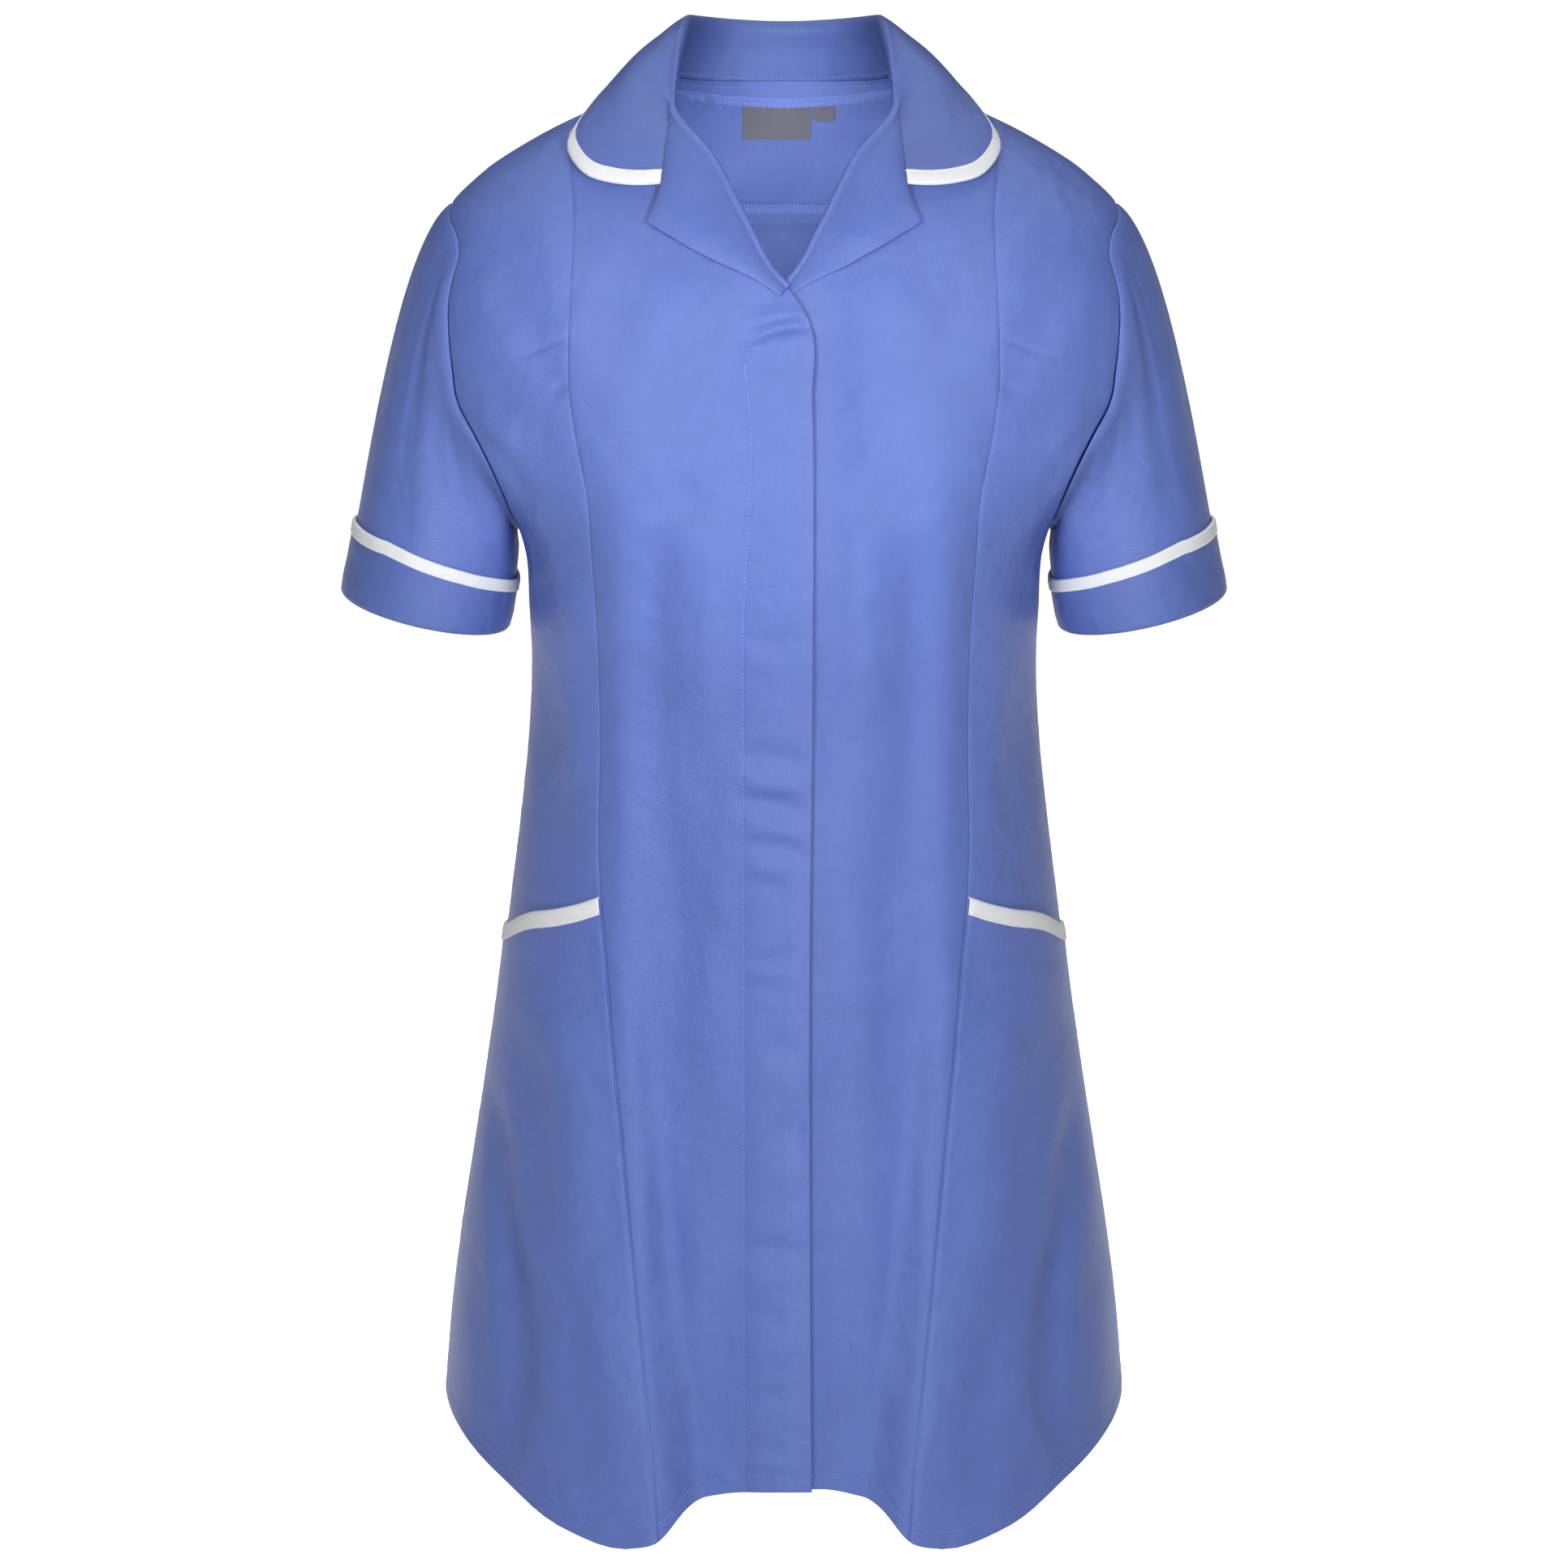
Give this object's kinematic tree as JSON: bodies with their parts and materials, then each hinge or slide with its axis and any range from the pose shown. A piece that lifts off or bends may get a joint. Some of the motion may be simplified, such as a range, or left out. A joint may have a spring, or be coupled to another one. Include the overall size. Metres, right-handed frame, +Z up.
{
  "type": "maternity tunic",
  "caption": "Short-sleeved maternity tunic, hollow as worn, with revere collar, concealed front fastening, turned-back cuffs and slanting patch pockets, all edged in white binding.",
  "frame": {"origin": "midway between the two neck points of the shoulder seams, at their height, where the wearer's shoulders hold the tunic", "axes": "+Z up along the body, the front faces -Y, +X towards the wearer's left"},
  "size_m": [0.5028, 0.3109, 0.8428],
  "materials": {
    "blue_cotton": "fine matt twill",
    "white_trim": "matt bias binding",
    "grey_label": "woven satin"
  },
  "bodies": {
    "root": {"front_right": "blue_cotton", "front_left": "blue_cotton", "fly_placket": "blue_cotton", "side_front_right": "blue_cotton", "side_front_left": "blue_cotton", "pocket_right": "blue_cotton", "pocket_left": "blue_cotton", "pocket_binding_right": "white_trim", "pocket_binding_left": "white_trim", "back_yoke": "blue_cotton", "back_body": "blue_cotton", "sleeve_right": "blue_cotton", "sleeve_left": "blue_cotton", "cuff_right": "blue_cotton", "cuff_left": "blue_cotton", "cuff_binding_right": "white_trim", "cuff_binding_left": "white_trim", "collar": "blue_cotton", "collar_binding": "white_trim", "revere_right": "blue_cotton", "revere_left": "blue_cotton", "neck_label": "grey_label", "size_tab": "grey_label"}
  },
  "joints": []
}
